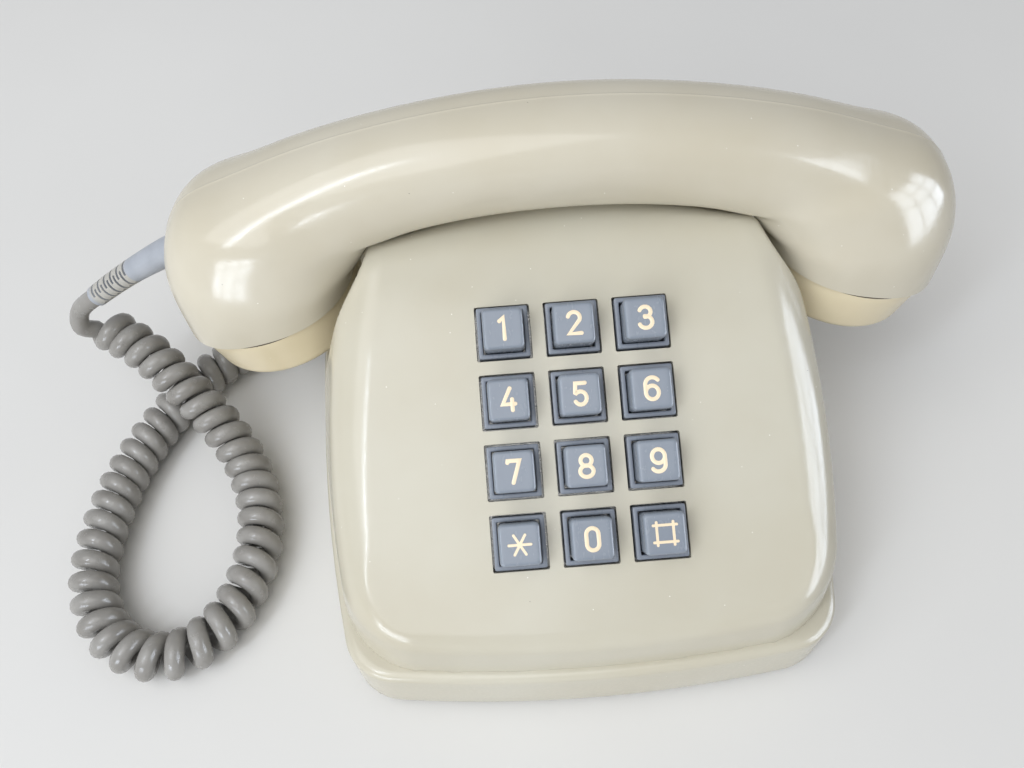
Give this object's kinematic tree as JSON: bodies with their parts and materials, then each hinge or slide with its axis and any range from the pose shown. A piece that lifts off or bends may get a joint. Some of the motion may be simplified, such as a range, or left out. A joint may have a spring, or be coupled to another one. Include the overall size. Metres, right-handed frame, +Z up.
{
  "type": "desk telephone",
  "caption": "Desk telephone with push-buttons on a sloping face, a handset lying across the cradle and a curly handset cord.",
  "frame": {"origin": "on the table, under the middle of the base", "axes": "+X to the right of the person who dials, +Y to the back, +Z up"},
  "size_m": [0.2805, 0.166, 0.1253],
  "materials": {
    "shell": "glossy, moulded, cream beige",
    "cap": "glossy, moulded, pale yellow",
    "key": "glossy, blue grey",
    "collar": "satin, dark blue grey",
    "rubber": "matt",
    "steel": "zinc plated",
    "brass": "plain",
    "gong": "plated",
    "board": "laminate",
    "transformer": "laminated core",
    "capacitor": "lacquered",
    "resistor": "lacquered",
    "black_plastic": "moulded",
    "winding": "enamelled wire",
    "magnet": "painted",
    "plunger": "polished",
    "grommet": "matt",
    "cord": "smooth vinyl",
    "boot": "smooth vinyl",
    "capsule": "spun"
  },
  "bodies": {
    "base": {"base_tray": "shell", "upper_cover": "shell", "rubber_feet": "rubber", "cover_screws": "steel", "key_collars": "collar", "keypad_chassis": "steel", "contact_board": "board", "keypad_spacers": "brass", "contact_cups": "black_plastic", "keypad_screws": "steel", "main_board": "board", "board_screws": "steel", "speech_transformer": "transformer", "capacitors": "capacitor", "resistors": "resistor", "terminal_block": "black_plastic", "terminal_screws": "brass", "gong_low": "gong", "gong_high": "gong", "gong_posts": "steel", "gong_nuts": "steel", "ringer_frame": "steel", "ringer_coils": "winding", "ringer_magnet": "magnet", "hammer_pin": "steel", "hook_bracket": "steel", "hook_springs": "steel", "hook_contacts": "black_plastic", "cord_gland": "grommet", "line_cord_inlet": "grommet", "handset_cord_lead": "cord", "handset_cord_coil": "cord", "base_cord_lead": "cord"},
    "handset": {"handset_shell": "shell", "mouth_cap": "cap", "ear_cap": "cap", "transmitter_capsule": "capsule", "receiver_capsule": "capsule", "handset_strain_relief": "boot"},
    "hook": {"hook_plungers": "plunger", "hook_bar": "steel"},
    "hammer": {"ringer_hammer": "brass"},
    "button_1": {"key_1": "key"},
    "button_2": {"key_2": "key"},
    "button_3": {"key_3": "key"},
    "button_4": {"key_4": "key"},
    "button_5": {"key_5": "key"},
    "button_6": {"key_6": "key"},
    "button_7": {"key_7": "key"},
    "button_8": {"key_8": "key"},
    "button_9": {"key_9": "key"},
    "button_star": {"key_star": "key"},
    "button_0": {"key_0": "key"},
    "button_hash": {"key_hash": "key"}
  },
  "joints": [
    {"name": "handset_lift", "type": "slide", "parent": "base", "child": "handset", "axis": [0, 0, 1], "range_m": [0, 0.05]},
    {"name": "hook_travel", "type": "slide", "parent": "base", "child": "hook", "axis": [0, 0, 1], "range_m": [0, 0.005], "deforming": ["hook_springs"]},
    {"name": "hammer_swing", "type": "hinge", "parent": "base", "child": "hammer", "pos_m": [0, 0.0315, 0.028], "axis": [0, 0, 1], "range_deg": [-6.5, 6.5]},
    {"name": "key_1_press", "type": "slide", "parent": "base", "child": "button_1", "axis": [0, -0.4695, 0.8829], "range_m": [-0.0035, 0], "stiffness_N_per_m": 150, "springref_m": 0.002},
    {"name": "key_2_press", "type": "slide", "parent": "base", "child": "button_2", "axis": [0, -0.4695, 0.8829], "range_m": [-0.0035, 0], "stiffness_N_per_m": 150, "springref_m": 0.002},
    {"name": "key_3_press", "type": "slide", "parent": "base", "child": "button_3", "axis": [0, -0.4695, 0.8829], "range_m": [-0.0035, 0], "stiffness_N_per_m": 150, "springref_m": 0.002},
    {"name": "key_4_press", "type": "slide", "parent": "base", "child": "button_4", "axis": [0, -0.4695, 0.8829], "range_m": [-0.0035, 0], "stiffness_N_per_m": 150, "springref_m": 0.002},
    {"name": "key_5_press", "type": "slide", "parent": "base", "child": "button_5", "axis": [0, -0.4695, 0.8829], "range_m": [-0.0035, 0], "stiffness_N_per_m": 150, "springref_m": 0.002},
    {"name": "key_6_press", "type": "slide", "parent": "base", "child": "button_6", "axis": [0, -0.4695, 0.8829], "range_m": [-0.0035, 0], "stiffness_N_per_m": 150, "springref_m": 0.002},
    {"name": "key_7_press", "type": "slide", "parent": "base", "child": "button_7", "axis": [0, -0.4695, 0.8829], "range_m": [-0.0035, 0], "stiffness_N_per_m": 150, "springref_m": 0.002},
    {"name": "key_8_press", "type": "slide", "parent": "base", "child": "button_8", "axis": [0, -0.4695, 0.8829], "range_m": [-0.0035, 0], "stiffness_N_per_m": 150, "springref_m": 0.002},
    {"name": "key_9_press", "type": "slide", "parent": "base", "child": "button_9", "axis": [0, -0.4695, 0.8829], "range_m": [-0.0035, 0], "stiffness_N_per_m": 150, "springref_m": 0.002},
    {"name": "key_star_press", "type": "slide", "parent": "base", "child": "button_star", "axis": [0, -0.4695, 0.8829], "range_m": [-0.0035, 0], "stiffness_N_per_m": 150, "springref_m": 0.002},
    {"name": "key_0_press", "type": "slide", "parent": "base", "child": "button_0", "axis": [0, -0.4695, 0.8829], "range_m": [-0.0035, 0], "stiffness_N_per_m": 150, "springref_m": 0.002},
    {"name": "key_hash_press", "type": "slide", "parent": "base", "child": "button_hash", "axis": [0, -0.4695, 0.8829], "range_m": [-0.0035, 0], "stiffness_N_per_m": 150, "springref_m": 0.002}
  ],
  "couplings": [
    {"joint": "hook_travel", "follows": "handset_lift", "ratio": 0.1}
  ]
}
